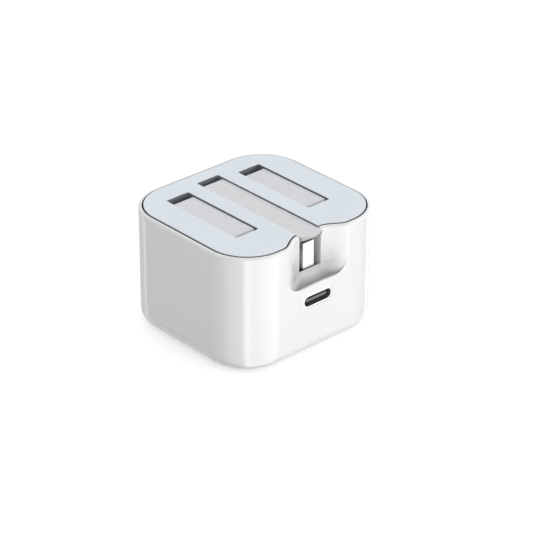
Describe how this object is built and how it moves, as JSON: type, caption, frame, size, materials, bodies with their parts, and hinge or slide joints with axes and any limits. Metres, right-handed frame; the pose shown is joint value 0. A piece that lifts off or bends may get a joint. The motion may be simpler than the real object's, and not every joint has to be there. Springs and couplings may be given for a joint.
{
  "type": "folding-pin USB-C mains charger",
  "caption": "Compact white mains charger with a USB-C port in front and British-pattern pins that fold flat into a pale inset pin face.",
  "frame": {"origin": "centre of the base face", "axes": "+Z out of the pin face, -Y towards the front with the thumb notch and the USB-C port, X across the live and neutral pins"},
  "size_m": [0.046, 0.0434, 0.0299],
  "materials": {
    "housing_white": "gloss",
    "face_grey": "satin",
    "chassis_nylon": "matt",
    "pin_metal": "satin nickel",
    "steel": "bright",
    "bronze": "bright",
    "board_green": "solder mask",
    "black_plastic": "matt",
    "ferrite": "sintered",
    "winding_yellow": "tape",
    "copper": "enamelled",
    "capacitor_blue": "sleeve",
    "film_yellow": "moulded",
    "aluminium": "plain",
    "ceramic": "glazed",
    "disc_blue": "dipped",
    "disc_red": "dipped",
    "choke_green": "coated",
    "film": "film",
    "wire_brown": "sleeve",
    "wire_blue": "sleeve"
  },
  "bodies": {
    "charger_body": {"housing_shell": "housing_white", "pin_face_plate": "face_grey", "pin_chassis": "chassis_nylon", "earth_axle": "steel", "chassis_screw_1": "steel", "chassis_screw_2": "steel", "chassis_screw_3": "steel", "chassis_screw_4": "steel", "live_contact_spring": "bronze", "neutral_contact_spring": "bronze", "live_lead": "wire_brown", "neutral_lead": "wire_blue", "detent_spring": "steel", "main_board": "board_green", "usb_c_shell": "steel", "usb_c_base": "black_plastic", "usb_c_contacts_upper": "bronze", "usb_c_contacts_lower": "bronze", "transformer_core_lower": "ferrite", "transformer_core_upper": "ferrite", "transformer_winding": "winding_yellow", "bulk_capacitor_1": "capacitor_blue", "bulk_capacitor_2": "capacitor_blue", "x_capacitor": "film_yellow", "output_choke": "copper", "output_rectifier": "black_plastic", "bridge_rectifier": "black_plastic", "output_capacitor_1": "aluminium", "output_capacitor_2": "aluminium", "power_delivery_controller": "black_plastic", "switching_controller": "black_plastic", "fuse": "ceramic", "varistor": "disc_red", "y_capacitor": "disc_blue", "common_mode_choke": "choke_green", "heat_spreader": "aluminium", "barrier_sheet": "film"},
    "earth_lever": {"earth_pin_bar": "pin_metal", "thumb_pad": "housing_white"},
    "pin_rotor": {"pin_carrier": "chassis_nylon", "live_pin": "pin_metal", "neutral_pin": "pin_metal"}
  },
  "joints": [
    {"name": "earth_lever_hinge", "type": "hinge", "parent": "charger_body", "child": "earth_lever", "pos_m": [0, -0.00964, 0.02762], "axis": [1, 0, 0], "range_deg": [0, 90]},
    {"name": "pin_rotor_hinge", "type": "hinge", "parent": "charger_body", "child": "pin_rotor", "pos_m": [0, 0.01146, 0.0268], "axis": [-1, 0, 0], "range_deg": [0, 90]}
  ],
  "couplings": [
    {"joint": "pin_rotor_hinge", "follows": "earth_lever_hinge", "ratio": 1}
  ]
}
